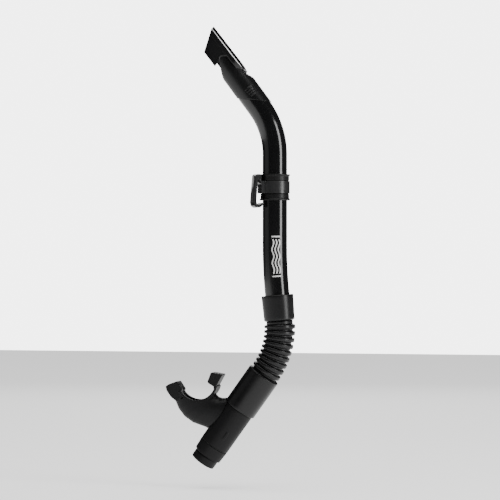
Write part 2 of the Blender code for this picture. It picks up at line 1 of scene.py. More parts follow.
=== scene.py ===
"""The looks of the snorkel tube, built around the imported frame. Sizes are in metres."""

import json
import math

import bmesh
import bpy
from mathutils import Matrix, Vector

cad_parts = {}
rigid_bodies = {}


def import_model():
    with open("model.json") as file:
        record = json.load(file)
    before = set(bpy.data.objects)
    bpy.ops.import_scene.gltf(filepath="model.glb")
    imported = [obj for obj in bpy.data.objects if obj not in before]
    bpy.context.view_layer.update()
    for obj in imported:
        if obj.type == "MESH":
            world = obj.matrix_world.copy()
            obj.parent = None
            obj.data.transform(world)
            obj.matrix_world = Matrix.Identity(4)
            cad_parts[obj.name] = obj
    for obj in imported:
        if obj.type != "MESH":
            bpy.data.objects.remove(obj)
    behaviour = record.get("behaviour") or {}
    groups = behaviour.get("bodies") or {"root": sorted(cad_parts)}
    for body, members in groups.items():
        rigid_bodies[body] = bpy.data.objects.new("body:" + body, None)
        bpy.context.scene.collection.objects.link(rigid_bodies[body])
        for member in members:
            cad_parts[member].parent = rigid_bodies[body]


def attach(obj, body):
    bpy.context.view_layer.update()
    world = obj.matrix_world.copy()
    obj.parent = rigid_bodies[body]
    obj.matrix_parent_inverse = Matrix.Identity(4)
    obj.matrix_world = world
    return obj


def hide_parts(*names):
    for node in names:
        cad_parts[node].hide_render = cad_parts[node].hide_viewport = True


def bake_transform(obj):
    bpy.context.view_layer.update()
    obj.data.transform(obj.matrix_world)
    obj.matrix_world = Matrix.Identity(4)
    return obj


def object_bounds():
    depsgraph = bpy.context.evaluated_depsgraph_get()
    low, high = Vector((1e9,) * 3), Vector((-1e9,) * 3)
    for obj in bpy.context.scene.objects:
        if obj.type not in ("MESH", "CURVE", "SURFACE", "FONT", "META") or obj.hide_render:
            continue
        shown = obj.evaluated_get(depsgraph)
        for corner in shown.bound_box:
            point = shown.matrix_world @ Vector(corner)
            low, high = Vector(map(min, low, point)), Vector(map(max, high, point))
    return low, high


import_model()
cad_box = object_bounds()

MM = 0.001
GAP = 0.3 * MM
FINE = 96                           # sides of a round piece
THROUGH = 0.03                      # half depth of a cutter that passes right through
FAR_DOWN = -50 * MM                 # a station below the barrel's reduced end
FAR_LEFT, FAR_RIGHT, FAR_UP = -80 * MM, 20 * MM, 0.15
SEAM = 0.03 * MM                    # between the hose's stretches, which are one moulding

# The design's centreline, repeated from the CAD model
STRAIGHT_UP = 32.5 * MM
UPPER_BEND_R = 80 * MM
UPPER_BEND = math.radians(36.5)
STRAIGHT_DOWN = 57.5 * MM
BOW_R = 500 * MM
BOW = math.radians(5)
HOSE_TOP = 133.6 * MM
HOSE_BEND_R = 76 * MM
HOSE_BEND = math.radians(40.6)
UPRIGHT = Matrix.Rotation(math.radians(90), 4, "X")

BARREL_R = 12.2 * MM
BARREL_BORE_R = 10.7 * MM
SPIGOT_R = 11.3 * MM
BARREL_BOTTOM = 130.5 * MM
BARREL_TOP = 109.0 * MM
STEP_LEFT = (-38.2 * MM, 89.2 * MM)
STEP_RIGHT = (-8.0 * MM, 85.5 * MM)

CAMERA_AZIMUTH = math.radians(12.5)
CAMERA_DISTANCE = 2.3
VIEW_CENTRE = Vector((-25.4 * MM, 0, -62.5 * MM))
VIEW_SIZE = 0.5                     # metres across the picture at the object
FACING = CAMERA_AZIMUTH - math.pi / 2   # the angle about the tube that faces the camera


# ---------------------------------------------------------------- shape helpers

CUTTERS = bpy.data.collections.new("cutters")
bpy.context.scene.collection.children.link(CUTTERS)


def new_object(name, mesh, skin=None, cutter=False):
    thing = bpy.data.objects.new(name, mesh)
    (CUTTERS if cutter else bpy.context.scene.collection).objects.link(thing)
    if skin:
        mesh.materials.clear()
        mesh.materials.append(skin)
    return thing


def bake(thing):
    """A mesh of the object as its modifiers leave it; the object itself is removed."""
    bpy.context.view_layer.update()
    seen = thing.evaluated_get(bpy.context.evaluated_depsgraph_get())
    mesh = bpy.data.meshes.new_from_object(seen)
    mesh.transform(thing.matrix_world)
    bpy.data.objects.remove(thing, do_unlink=True)
    return mesh


def smooth(mesh, angle=35):
    mesh.shade_smooth()
    mesh.set_sharp_from_angle(angle=math.radians(angle))


def settle(thing, skin, angle=35):
    """Applies a piece's modifiers and shades it smooth away from its edges."""
    name = thing.name
    thing.name = name + "_rough"
    mesh = bake(thing)
    smooth(mesh, angle)
    return new_object(name, mesh, skin)


def boolean(thing, other, operation):
    step = thing.modifiers.new(operation.lower(), "BOOLEAN")
    step.operation = operation
    step.solver = "EXACT"
    step.object = other


def follow(runs, distance, rise):
    """Walks straight runs and arcs and gives (x, z, lean); lean is towards -X."""
    x = z = lean = 0.0
    for length, turn in runs:
        step = min(distance, length)
        if turn:
            radius = length / turn
            share = step / radius
            x += radius * (math.cos(lean + share) - math.cos(lean))
            z += rise * radius * (math.sin(lean + share) - math.sin(lean))
            lean += share
        else:
            x -= math.sin(lean) * step
            z += rise * math.cos(lean) * step
        distance -= step
        if distance <= 0:
            break
    return x, z, lean


BOW_LENGTH = BOW_R * BOW
UP_RUNS = ((STRAIGHT_UP, 0), (UPPER_BEND_R * UPPER_BEND, UPPER_BEND), (1.0, 0))
DOWN_RUNS = (
    (STRAIGHT_DOWN, 0),
    (BOW_LENGTH, -BOW),
    (HOSE_TOP - STRAIGHT_DOWN - BOW_LENGTH, 0),
    (HOSE_BEND_R * HOSE_BEND, HOSE_BEND),
    (1.0, 0),
)


def station(down):
    """The frame on the centreline: its point, its side towards +X, and its way up."""
    if down >= 0:
        x, z, lean = follow(DOWN_RUNS, down, -1)
        side = Vector((math.cos(lean), 0, -math.sin(lean)))
        up = Vector((math.sin(lean), 0, math.cos(lean)))
    else:
        x, z, lean = follow(UP_RUNS, -down, 1)
        side = Vector((math.cos(lean), 0, math.sin(lean)))
        up = Vector((-math.sin(lean), 0, math.cos(lean)))
    return Vector((x, 0, z)), side, up


def frame_at(down):
    point, side, up = station(down)
    return Matrix((
        (side.x, 0, up.x, point.x),
        (0, 1, 0, 0),
        (side.z, 0, up.z, point.z),
        (0, 0, 0, 1),
    ))


def on_tube(down, angle, radius):
    """A point on a tube's skin, by its distance down and its angle from +X towards +Y."""
    point, side, _ = station(down)
    return point + side * radius * math.cos(angle) + Vector((0, radius * math.sin(angle), 0))


def lay(mesh):
    """Bends a straight piece, modelled along Z, onto the centreline."""
    for vertex in mesh.vertices:
        point, side, _ = station(-vertex.co.z)
        vertex.co = point + side * vertex.co.x + Vector((0, vertex.co.y, 0))
    mesh.update()


def fillet(outline, radius, samples=4):
    """Rounds each corner of a closed outline, by no more than its shorter side allows."""
    rounded = []
    count = len(outline)
    for i, corner in enumerate(outline):
        here = Vector(corner)
        before = Vector(outline[i - 1]) - here
        after = Vector(outline[(i + 1) % count]) - here
        turn = math.pi - before.angle(after)
        reach = min(radius * math.tan(turn / 2), before.length * 0.45, after.length * 0.45)
        if turn < 0.12 or reach < 0.00002:
            rounded.append(tuple(here))
            continue
        start = here + before.normalized() * reach
        end = here + after.normalized() * reach
        for k in range(samples + 1):
            t = k / samples
            point = start * (1 - t) ** 2 + here * 2 * t * (1 - t) + end * t ** 2
            rounded.append(tuple(point))
    return rounded


def refine(outline, pitch):
    """Splits a closed outline's long runs so that the piece can bend."""
    points = []
    count = len(outline)
    for i, (r, z) in enumerate(outline):
        r2, z2 = outline[(i + 1) % count]
        parts = max(1, math.ceil(abs(z2 - z) / pitch))
        points += [(r + (r2 - r) * k / parts, z + (z2 - z) * k / parts) for k in range(parts)]
    return points


def turned(name, profile, skin=None, radius=0.4 * MM, pitch=2.5 * MM, cutter=False):
    """A turned piece from (radius, distance down) points, outer side first, top to bottom."""
    outline = refine(fillet(profile, radius) if radius else profile, pitch)
    shape = bmesh.new()
    rings = []
    for r, down in outline:
        if r < 0.00001:
            rings.append([shape.verts.new((0, 0, -down))])
            continue
        ring = []
        for k in range(FINE):
            angle = 2 * math.pi * k / FINE
            ring.append(shape.verts.new((r * math.cos(angle), r * math.sin(angle), -down)))
        rings.append(ring)
    for first, second in zip(rings, rings[1:] + rings[:1]):
        bridge(shape, first, second, FINE)
    bmesh.ops.recalc_face_normals(shape, faces=shape.faces)
    mesh = bpy.data.meshes.new(name)
    shape.to_mesh(mesh)
    shape.free()
    lay(mesh)
    smooth(mesh)
    return new_object(name, mesh, skin, cutter)


def bridge(shape, first, second, sides):
    """Joins two rings with faces; a ring of one point closes the piece on its axis."""
    if len(first) == 1 and len(second) == 1:
        return
    for k in range(sides):
        j = (k + 1) % sides
        if len(first) == 1:
            shape.faces.new((first[0], second[k], second[j]))
        elif len(second) == 1:
            shape.faces.new((first[k], second[0], first[j]))
        else:
            shape.faces.new((first[k], second[k], second[j], first[j]))


def rod(name, radius, top, bottom, cutter=True):
    """A solid rod along the centreline."""
    profile = [(0, top), (radius, top), (radius, bottom), (0, bottom)]
    return turned(name, profile, None, 0, 3 * MM, cutter)


def flat(name, outline, half, matrix, skin=None, cutter=True, edge=0.0):
    """A plate from a closed outline in a frame's XY plane, with rounded edges if asked."""
    shape = bmesh.new()
    top = [shape.verts.new((x, y, half)) for x, y in outline]
    low = [shape.verts.new((x, y, -half)) for x, y in outline]
    shape.faces.new(top)
    shape.faces.new(list(reversed(low)))
    count = len(outline)
    for i in range(count):
        j = (i + 1) % count
        shape.faces.new((top[i], low[i], low[j], top[j]))
    bmesh.ops.recalc_face_normals(shape, faces=shape.faces)
    if edge:
        rims = [e for e in shape.edges if e.calc_face_angle(0) > 1.2]
        bmesh.ops.bevel(
            shape, geom=rims, offset=edge, segments=3, affect="EDGES", profile=0.5, clamp_overlap=True
        )
    mesh = bpy.data.meshes.new(name)
    shape.to_mesh(mesh)
    shape.free()
    mesh.transform(matrix)
    smooth(mesh)
    return new_object(name, mesh, skin, cutter)


def upright(name, points, half, matrix=None, skin=None, cutter=True, edge=0.0):
    """A plate whose outline stands in the XZ plane of a frame."""
    return flat(name, points, half, (matrix or Matrix.Identity(4)) @ UPRIGHT, skin, cutter, edge)


def in_mm(points):
    return [(x * MM, z * MM) for x, z in points]


def loft(name, rows, skin=None, cutter=True):
    """A closed skin over rings of equal count, with flat ends."""
    shape = bmesh.new()
    rings = [[shape.verts.new(point) for point in row] for row in rows]
    for first, second in zip(rings, rings[1:]):
        bridge(shape, first, second, len(first))
    shape.faces.new(list(reversed(rings[0])))
    shape.faces.new(rings[-1])
    bmesh.ops.recalc_face_normals(shape, faces=shape.faces)
    mesh = bpy.data.meshes.new(name)
    shape.to_mesh(mesh)
    shape.free()
    return new_object(name, mesh, skin, cutter)


def oval(right, left, depth, count=64, power=2.3):
    """A rounded ring between two edges in the XZ plane."""
    centre, arm = (right + left) / 2, (right - left) / 2
    ring = []
    for i in range(count):
        angle = 2 * math.pi * i / count
        c, s = math.cos(angle), math.sin(angle)
        along = math.copysign(abs(c) ** (2 / power), c)
        across = math.copysign(abs(s) ** (2 / power), s)
        ring.append(centre + arm * along + Vector((0, depth * across, 0)))
    return ring


def soften(thing, width, skin, segments=3, angle=40):
    """Rounds the hard edges that a piece's cuts and joins leave."""
    step = thing.modifiers.new("soft_edges", "BEVEL")
    step.width = width
    step.segments = segments
    step.limit_method = "ANGLE"
    step.angle_limit = math.radians(angle)
    step.use_clamp_overlap = True
    step.harden_normals = True
    return settle(thing, skin, 50)


def melt(thing, voxel, passes, skin):
    """Turns cuts and joins into one soft moulded skin."""
    mesher = thing.modifiers.new("one_skin", "REMESH")
    mesher.mode = "VOXEL"
    mesher.voxel_size = voxel
    calm = thing.modifiers.new("calm", "SMOOTH")
    calm.factor = 0.5
    calm.iterations = passes
    name = thing.name
    thing.name = name + "_rough"
    mesh = bake(thing)
    mesh.shade_smooth()
    return new_object(name, mesh, skin)


def place(piece, body, slot, *nodes):
    """Rides a piece on its CAD body and hides the CAD nodes it stands for; the finish it is given is not
    used.
    """
    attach(piece, body)
    if nodes:
        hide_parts(*nodes)
    return piece


# ---------------------------------------------------------------- materials

def plastic(name, colour, rough, spread, grain, bump, coat=0.0, sheen=0.0, scuffs=0.0, shine=0.5):
    """Moulded black plastic or rubber: uneven gloss, a fine skin and faint handling marks."""
    skin = bpy.data.materials.new(name)
    skin.use_nodes = True
    nodes, links = skin.node_tree.nodes, skin.node_tree.links
    shader = nodes["Principled BSDF"]
    shader.inputs["Specular IOR Level"].default_value = shine
    shader.inputs["Coat Weight"].default_value = coat
    shader.inputs["Coat Roughness"].default_value = 0.06
    shader.inputs["Sheen Weight"].default_value = sheen
    shader.inputs["Sheen Roughness"].default_value = 0.4
    where = nodes.new("ShaderNodeTexCoord")

    cloud = nodes.new("ShaderNodeTexNoise")
    cloud.inputs["Scale"].default_value = 38
    cloud.inputs["Detail"].default_value = 5
    links.new(where.outputs["Object"], cloud.inputs["Vector"])
    gloss = nodes.new("ShaderNodeMapRange")
    gloss.inputs["From Min"].default_value = 0.3
    gloss.inputs["From Max"].default_value = 0.7
    gloss.inputs["To Min"].default_value = rough - spread
    gloss.inputs["To Max"].default_value = rough + spread
    links.new(cloud.outputs["Fac"], gloss.inputs["Value"])

    tint = nodes.new("ShaderNodeMix")
    tint.data_type = "RGBA"
    tint.inputs["A"].default_value = (*[c * 0.8 for c in colour], 1)
    tint.inputs["B"].default_value = (*[c * 1.35 for c in colour], 1)
    links.new(cloud.outputs["Fac"], tint.inputs["Factor"])
    links.new(tint.outputs["Result"], shader.inputs["Base Color"])

    # Scuffs: thin stretched streaks that dull the gloss a little.
    stretch = nodes.new("ShaderNodeMapping")
    stretch.inputs["Scale"].default_value = (420, 420, 30)
    streak = nodes.new("ShaderNodeTexNoise")
    streak.inputs["Scale"].default_value = 1
    streak.inputs["Detail"].default_value = 2
    links.new(where.outputs["Object"], stretch.inputs["Vector"])
    links.new(stretch.outputs["Vector"], streak.inputs["Vector"])
    mark = nodes.new("ShaderNodeMapRange")
    mark.inputs["From Min"].default_value = 0.62
    mark.inputs["From Max"].default_value = 0.75
    mark.inputs["To Max"].default_value = scuffs
    links.new(streak.outputs["Fac"], mark.inputs["Value"])
    total = nodes.new("ShaderNodeMath")
    links.new(gloss.outputs["Result"], total.inputs[0])
    links.new(mark.outputs["Result"], total.inputs[1])
    links.new(total.outputs["Value"], shader.inputs["Roughness"])

    fine = nodes.new("ShaderNodeTexNoise")
    fine.inputs["Scale"].default_value = grain
    fine.inputs["Detail"].default_value = 3
    links.new(where.outputs["Object"], fine.inputs["Vector"])
    relief = nodes.new("ShaderNodeBump")
    relief.inputs["Strength"].default_value = bump
    relief.inputs["Distance"].default_value = 0.0001
    links.new(fine.outputs["Fac"], relief.inputs["Height"])
    links.new(relief.outputs["Normal"], shader.inputs["Normal"])
    return skin


COAL = (0.004, 0.004, 0.0043)
SKINS = {
    "gloss": plastic("gloss_black_pvc", COAL, 0.15, 0.02, 900, 0.04, coat=0.2, scuffs=0.04),
    "hood": plastic("satin_black_hood", COAL, 0.28, 0.04, 1500, 0.08, scuffs=0.08, shine=0.4),
    "plate": plastic("polished_black_plate", (0.010, 0.010, 0.011), 0.09, 0.02, 600, 0.03, coat=0.4),
    "keeper": plastic("keeper_black", COAL, 0.36, 0.05, 1800, 0.15, scuffs=0.08, shine=0.25),
    "clip": plastic("clip_black", (0.008, 0.008, 0.0085), 0.3, 0.05, 1800, 0.15, scuffs=0.08),
    "hose": plastic("silicone_black", COAL, 0.3, 0.04, 1300, 0.12, scuffs=0.05, shine=0.3),
    "purge": plastic("purge_black", COAL, 0.48, 0.06, 2200, 0.3, scuffs=0.06, shine=0.18),
    "seat": plastic("seat_black", (0.010, 0.010, 0.011), 0.45, 0.05, 1800, 0.2),
    "valve": plastic("valve_silicone", (0.02, 0.02, 0.021), 0.45, 0.05, 1500, 0.1, sheen=0.05),
    "ink": plastic("white_ink", (0.66, 0.66, 0.65), 0.45, 0.06, 1400, 0.1),
    "mouth": plastic("mouth_silicone", COAL, 0.48, 0.06, 1600, 0.25, scuffs=0.04, shine=0.2),
}


# ---------------------------------------------------------------- barrel

def make_barrel():
    barrel = turned("barrel_tube", [
        (BARREL_R, -BARREL_TOP), (BARREL_R, BARREL_BOTTOM),
        (BARREL_BORE_R, BARREL_BOTTOM), (BARREL_BORE_R, -BARREL_TOP),
    ], pitch=2 * MM)
    neck = turned("barrel_neck", [
        (BARREL_R + 3 * MM, -BARREL_TOP - 2 * MM), (BARREL_R + 3 * MM, FAR_DOWN),
        (SPIGOT_R, FAR_DOWN), (SPIGOT_R, -BARREL_TOP - 2 * MM),
    ], radius=0, cutter=True)
    slope = (STEP_RIGHT[1] - STEP_LEFT[1]) / (STEP_RIGHT[0] - STEP_LEFT[0])
    ends = [(x, STEP_LEFT[1] + (x - STEP_LEFT[0]) * slope - GAP) for x in (FAR_LEFT, FAR_RIGHT)]
    above = upright("above_step", ends + [(FAR_RIGHT, FAR_UP), (FAR_LEFT, FAR_UP)], THROUGH)
    boolean(neck, above, "INTERSECT")
    boolean(barrel, neck, "DIFFERENCE")
    place(settle(barrel, SKINS["gloss"]), "barrel", "gloss_black_pvc", "barrel")


# The mark: three waves between two bars, in place of the maker's print
MARK_TOP = 48.5 * MM
MARK_BOTTOM = 89.5 * MM
MARK_HALF = 4.4 * MM
MARK_ANGLE = FACING + 0.08
INK = 0.06 * MM
WAVE = 13.5 * MM
WAVE_RISE = 0.9 * MM
WAVE_GAP = 3.1 * MM
LINE = 1.35 * MM
BAR = 1.4 * MM
BAR_GAP = 3.4 * MM                  # from the mark's ends to the waves' ends
WAVE_SAMPLES = 60
STRIP_SIDES = 16                    # facets across a strip, so that it follows the barrel


def print_strip(name, run, width):
    """A thin strip of ink along (distance down, arc across) points of the barrel's skin."""
    shape = bmesh.new()
    pairs = []
    radius = BARREL_R + INK
    for down, across in run:
        shares = [k / STRIP_SIDES - 0.5 for k in range(STRIP_SIDES + 1)]
        angles = [MARK_ANGLE + (across + share * width) / radius for share in shares]
        pairs.append([shape.verts.new(on_tube(down, angle, radius)) for angle in angles])
    for first, second in zip(pairs, pairs[1:]):
        for k in range(STRIP_SIDES):
            shape.faces.new((first[k], second[k], second[k + 1], first[k + 1]))
    mesh = bpy.data.meshes.new(name)
    shape.to_mesh(mesh)
    shape.free()
    strip = new_object(name, mesh)
    step = strip.modifiers.new("ink", "SOLIDIFY")
    step.thickness = INK
    step.offset = 0
    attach(settle(strip, SKINS["ink"]), "barrel")


def make_mark():
    for name, down in (("mark_bar_top", MARK_TOP), ("mark_bar_bottom", MARK_BOTTOM - BAR)):
        print_strip(name, [(down, 0), (down + BAR, 0)], 2 * MARK_HALF)
    start, end = MARK_TOP + BAR_GAP, MARK_BOTTOM - BAR_GAP
    for i, offset in enumerate((-1, 0, 1)):
        run = []
        for k in range(WAVE_SAMPLES + 1):
            down = start + (end - start) * k / WAVE_SAMPLES
            rise = WAVE_RISE * math.sin(2 * math.pi * (down - start) / WAVE)
            run.append((down, offset * WAVE_GAP + rise))
        print_strip(f"mark_wave_{i + 1}", run, LINE)


def pad(name, top, bottom, middle, sweep, radius, height, skin, columns=24, rows=10):
    """A low rounded pad on a tube's skin, sunk into it at its edges."""
    shape = bmesh.new()
    grid = []
    sink = 0.25 * MM
    for i in range(rows + 1):
        u = i / rows * 2 - 1
        line = []
        for k in range(columns + 1):
            v = k / columns * 2 - 1
            rise = (1 - abs(u) ** 4) * (1 - abs(v) ** 6)
            out = radius - sink + (height + sink) * rise ** 0.5
            point = on_tube(top + (bottom - top) * i / rows, middle + sweep * v / 2, out)
            line.append(shape.verts.new(point))
        grid.append(line)
    for a, b in zip(grid, grid[1:]):
        for k in range(columns):
            shape.faces.new((a[k], b[k], b[k + 1], a[k + 1]))
    bmesh.ops.recalc_face_normals(shape, faces=shape.faces)
    mesh = bpy.data.meshes.new(name)
    shape.to_mesh(mesh)
    shape.free()
    made = new_object(name, mesh)
    step = made.modifiers.new("body", "SOLIDIFY")
    step.thickness = 0.2 * MM
    step.offset = 0
    return settle(made, skin, 60)


# ---------------------------------------------------------------- hood

HOOD_CORNER = Vector((-66.0 * MM, 0, 163.5 * MM))
HOOD_SLOPE = math.radians(52.0)
HOOD_LENGTH = 59.6 * MM
HOOD_HALF_WIDTH = 13.6 * MM
HOOD_SKEW = 6.6 * MM
HOOD_SHEAR = 0.676
HOOD_DEPTH = 20.4 * MM
HOOD_WALL = 1.7 * MM
ROOF = 4.4 * MM
RECESS = 1.3 * MM
PLATE = 1.0 * MM
RIM = 1.1 * MM
COLLAR_R = 12.8 * MM
# Outlines in millimetres: the flap's sides as (along the roof, above it), the others as (x, z)
FLAP_SIDE = (
    (-8, 1), (-8, -20.4), (38.3, -20.4), (36.6, -13.7), (34.3, -11.0), (33.9, -9.4), (37.5, -4),
    (37.5, 1),
)
COLLAR_SIDE = (
    (-2.0, 84.8), (-46.0, 90.2), (-58.0, 104.0), (-52.0, 108.0), (-57.6, 150.5), (-54.3, 148.5),
    (-29.3, 116.5), (-31.0, 115.0), (-21.5, 109.6), (-2.0, 100.0),
)
HOLLOW_SIDE = ((-100, 175), (-100, 95), (-52.2, 95), (-52.0, 108.0), (-57.6, 150.5), (-60, 175))
PASSAGE_SIDE = ((-20.5, 106.0), (-34.5, 115.8), (-66.5, 156.8), (-100, 130), (-70, 80), (-20, 80))
GRIP_BARS = 4
GRIP_TOP = -104.5 * MM
GRIP_PITCH = 2.7 * MM
GRIP_WIDE = 1.5 * MM
GRIP_RISE = 0.35 * MM
GRIP_MIDDLE = math.radians(-70)
MOULD_GRAIN = 0.32 * MM             # the fineness of the moulded skins of the hood and mouthpiece


def hood_frame():
    """X down the roof's slope, Y across it, Z out of it."""
    return Matrix.Translation(HOOD_CORNER) @ Matrix.Rotation(HOOD_SLOPE, 4, "Y")


def roof_outline(inset=0.0, samples=28):
    """The roof seen square on: a skewed straight end and a round lower end."""
    half = HOOD_HALF_WIDTH - inset
    middle = HOOD_LENGTH - HOOD_HALF_WIDTH
    points = [(inset, half), (HOOD_SKEW + inset, -half)]
    for i in range(samples + 1):
        angle = -math.pi / 2 + math.pi * i / samples
        points.append((middle + half * math.cos(angle), half * math.sin(angle)))
    return points


def roof_slab(name, inset, top, bottom, cutter=True, edge=0.0):
    """A slab of the roof's outline between two heights above the roof's face."""
    lift = Matrix.Translation((0, 0, (top + bottom) / 2))
    return flat(name, roof_outline(inset), (top - bottom) / 2, hood_frame() @ lift, None, cutter, edge)


def leaning_block(name, outline, top, bottom):
    """A block of an outline in the roof's plane that leans with the hood's end wall."""
    lean = Matrix.Identity(4)
    lean[0][2] = -HOOD_SHEAR
    lift = Matrix.Translation((0, 0, (top + bottom) / 2))
    return flat(name, outline, (top - bottom) / 2, hood_frame() @ lean @ lift)


def end_edge(across, inset=0.0):
    """Where the skewed end edge lies along the roof, at a distance across it."""
    return HOOD_SKEW * (0.5 - across / (2 * HOOD_HALF_WIDTH)) + inset


def make_hood():
    frame_of_roof = hood_frame()
    hood = roof_slab("hood_shell", 0, 0, -ROOF, cutter=False)
    side = HOOD_HALF_WIDTH - 0.1 * MM
    box = [(-6 * MM, side), (-6 * MM, -side), (36 * MM, -side), (36 * MM, side)]
    flap = leaning_block("flap", box, -0.5 * MM, -HOOD_DEPTH - 3 * MM)
    boolean(flap, upright("flap_side", in_mm(FLAP_SIDE), THROUGH, frame_of_roof), "INTERSECT")
    collar = rod("collar", COLLAR_R, -160 * MM, -60 * MM)
    boolean(collar, upright("collar_side", in_mm(COLLAR_SIDE), THROUGH), "INTERSECT")
    boolean(hood, flap, "UNION")
    boolean(hood, collar, "UNION")

    wide = 20 * MM
    beyond = [(-0.04, wide), (-0.04, -wide), (end_edge(-wide), -wide), (end_edge(wide), wide)]
    boolean(hood, leaning_block("hood_end", beyond, 5 * MM, -0.04), "DIFFERENCE")
    side = HOOD_HALF_WIDTH - HOOD_WALL
    near, far = end_edge(-side, HOOD_WALL), end_edge(side, HOOD_WALL)
    inside = [(far, side), (near, -side), (0.06, -side), (0.06, side)]
    hollow = leaning_block("hood_hollow", inside, -ROOF + 0.2 * MM, -0.06)
    boolean(hollow, upright("hollow_side", in_mm(HOLLOW_SIDE), THROUGH), "INTERSECT")
    passage = rod("hood_passage", BARREL_BORE_R, -170 * MM, -BARREL_TOP + 2 * MM)
    boolean(passage, upright("passage_side", in_mm(PASSAGE_SIDE), THROUGH), "INTERSECT")
    socket = rod("hood_socket", SPIGOT_R + GAP, -BARREL_TOP - GAP, FAR_DOWN)
    recess = roof_slab("hood_recess", RIM, 3 * MM, -RECESS - PLATE - GAP)
    for tool in (hollow, passage, socket, recess):
        boolean(hood, tool, "DIFFERENCE")
    hood = melt(hood, MOULD_GRAIN, 3, SKINS["hood"])
    place(hood, "barrel", "satin_black_hood", "splash_hood")

    plate = roof_slab("hood_plate_face", RIM + GAP, -RECESS, -RECESS - PLATE, False, 0.3 * MM)
    place(settle(plate, SKINS["plate"]), "barrel", "polished_black_plate", "hood_plate")
    for i in range(GRIP_BARS):
        top = GRIP_TOP + i * GRIP_PITCH
        bar = pad(
            f"hood_grip_{i + 1}", top, top + GRIP_WIDE, GRIP_MIDDLE, math.radians(42 - 5 * i),
            COLLAR_R, GRIP_RISE, SKINS["hood"],
        )
        place(bar, "barrel", "satin_black_hood")


# ---------------------------------------------------------------- keeper

SPOOL_HALF = 13 * MM
SPOOL_FLANGE_R = 15.2 * MM
SPOOL_FLANGE = 1.6 * MM
SPOOL_BAND_R = 14.3 * MM
CHANNEL_R = 13.1 * MM
CHANNEL_HALF = 6.5 * MM
CLIP_R = 14.9 * MM
CLIP_HALF_WIDTH = 8.2 * MM
CLIP_TURN = math.radians(26)
CLIP_BOSS = ((11.0, -6.0), (15.8, -6.0), (15.8, 3.0), (17.4, 5.8), (17.4, 6.2), (11.0, 6.2))
CLIP_SIDE = (
    (15.6, 5.0), (17.2, 5.0), (18.0, 8.2), (19.3, 8.0), (20.9, -14.0), (20.2, -16.6), (18.4, -18.0),
    (16.6, -17.6), (15.4, -15.4), (14.0, -16.0), (14.9, -18.6), (17.2, -20.3), (20.3, -20.4),
    (22.8, -18.6), (23.7, -15.2), (21.5, 11.4), (20.4, 13.0), (16.8, 13.0), (15.7, 11.8),
)


def make_keeper():
    lip = SPOOL_HALF - SPOOL_FLANGE
    half = [
        (SPOOL_FLANGE_R, SPOOL_HALF), (SPOOL_FLANGE_R, lip), (SPOOL_BAND_R, lip - 0.3 * MM),
        (SPOOL_BAND_R, CHANNEL_HALF + 0.4 * MM), (SPOOL_BAND_R - 0.4 * MM, CHANNEL_HALF),
        (CHANNEL_R, CHANNEL_HALF),
    ]
    bore = BARREL_R + GAP
    profile = [(r, -z) for r, z in half] + [(r, z) for r, z in reversed(half)]
    profile += [(bore, SPOOL_HALF), (bore, -SPOOL_HALF)]
    spool = turned("keeper_spool", profile, SKINS["keeper"], 0.5 * MM)
    place(spool, "keeper", "keeper_black", "keeper_sleeve")

    ring_bore = CHANNEL_R + GAP
    ring_half = CHANNEL_HALF - GAP
    clip = turned("clip_ring", [
        (CLIP_R, -ring_half), (CLIP_R, ring_half), (ring_bore, ring_half), (ring_bore, -ring_half),
    ], radius=0)
    outward = Matrix.Rotation(math.pi + CLIP_TURN, 4, "Z")
    hook = upright("clip_hook", fillet(in_mm(CLIP_SIDE), 1.2 * MM), CLIP_HALF_WIDTH, outward)
    boss = upright("clip_boss", in_mm(CLIP_BOSS), CLIP_HALF_WIDTH, outward)
    boolean(hook, boss, "UNION")
    boolean(hook, rod("clip_bore", ring_bore, -ring_half - MM, ring_half + MM), "DIFFERENCE")
    boolean(clip, hook, "UNION")
    clip = soften(clip, 0.35 * MM, SKINS["clip"])
    place(clip, "clip", "clip_black", "keeper_clip")


# ---------------------------------------------------------------- flexible hose

CUFF_TOP = 107.5 * MM
CUFF_TOP_R = 15.95 * MM
CUFF_LOW_R = 15.3 * MM
HOSE_BORE_R = 11 * MM
RIBS = 9
RIB_PITCH = 5.85 * MM
FIRST_RIB = 139.0 * MM
RIB_TIP_R = 15.5 * MM
RIB_VALLEY_R = 13.0 * MM
HOSE_BOTTOM = 189.2 * MM
LOWER_CUFF_R = 16.7 * MM
LOWER_CUFF_END = 233.2 * MM


